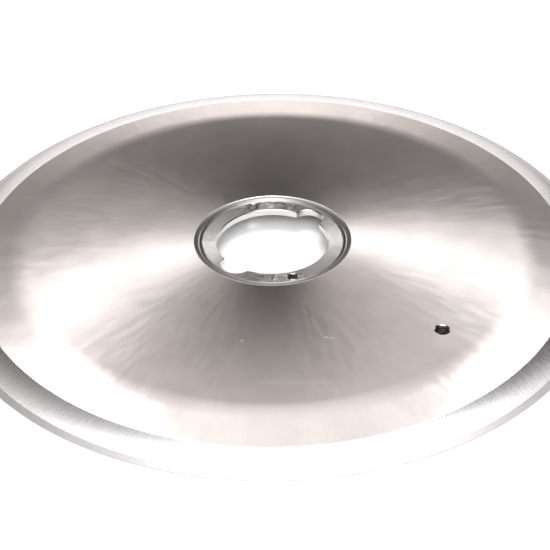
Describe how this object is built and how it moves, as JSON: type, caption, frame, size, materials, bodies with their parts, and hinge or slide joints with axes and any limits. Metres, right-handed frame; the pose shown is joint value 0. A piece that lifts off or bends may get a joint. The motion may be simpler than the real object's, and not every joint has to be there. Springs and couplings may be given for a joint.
{
  "type": "food slicer blade",
  "caption": "Round food slicer blade: a dished steel disc with a hollow-ground, honed rim and a recessed hub whose bore has round notches.",
  "frame": {"origin": "centre of the circle that the rim rests on, on the plane of the cutting edge's flat back", "axes": "+Z along the spindle axis, out of the bevelled side; +X to the right and +Y away in the picture"},
  "size_m": [0.33, 0.33, 0.0115],
  "materials": {
    "blade_steel": "turned and ground"
  },
  "bodies": {
    "root": {"slicer_blade": "blade_steel"}
  },
  "joints": []
}
